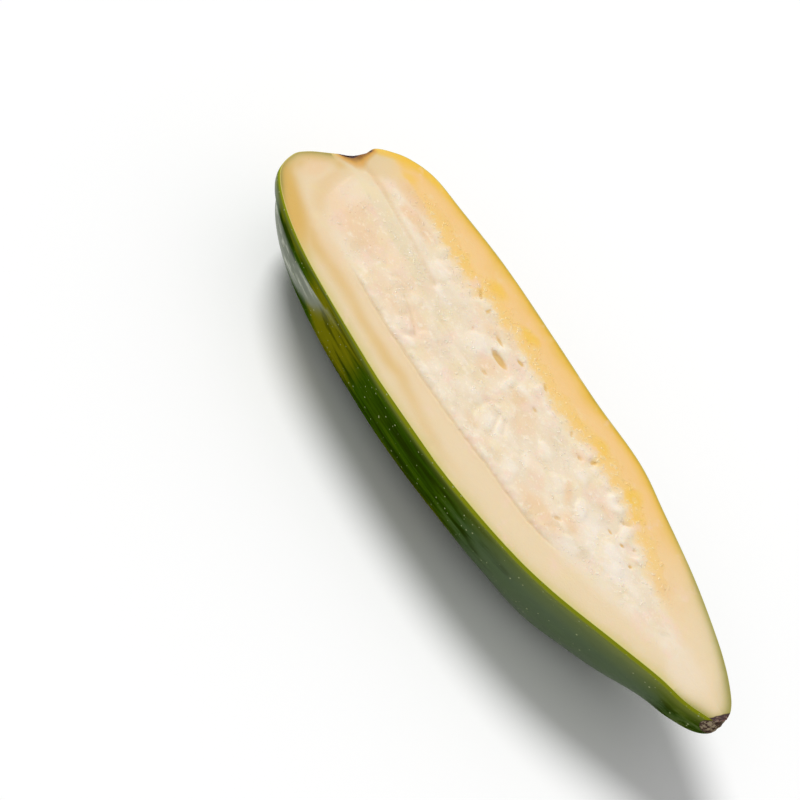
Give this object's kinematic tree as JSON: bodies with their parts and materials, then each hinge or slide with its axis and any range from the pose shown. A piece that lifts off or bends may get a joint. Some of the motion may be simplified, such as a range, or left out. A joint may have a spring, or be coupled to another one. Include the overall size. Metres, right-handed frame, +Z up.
{
  "type": "halved babaco fruit",
  "caption": "Half of a long five-ribbed tropical fruit, cut lengthwise and lying on its green skin with the pale pulp-filled cut face up.",
  "frame": {"origin": "middle of the footprint, on the surface that the half lies on", "axes": "+X along the fruit from the stem scar to the blossom end, +Z up out of the cut face"},
  "size_m": [0.2634, 0.0858, 0.0437],
  "materials": {
    "skin": "thin waxy green fruit skin, half gloss",
    "flesh": "moist pale yellow fruit flesh and whitish pulp"
  },
  "bodies": {
    "root": {"babaco_half": "skin"}
  },
  "joints": []
}
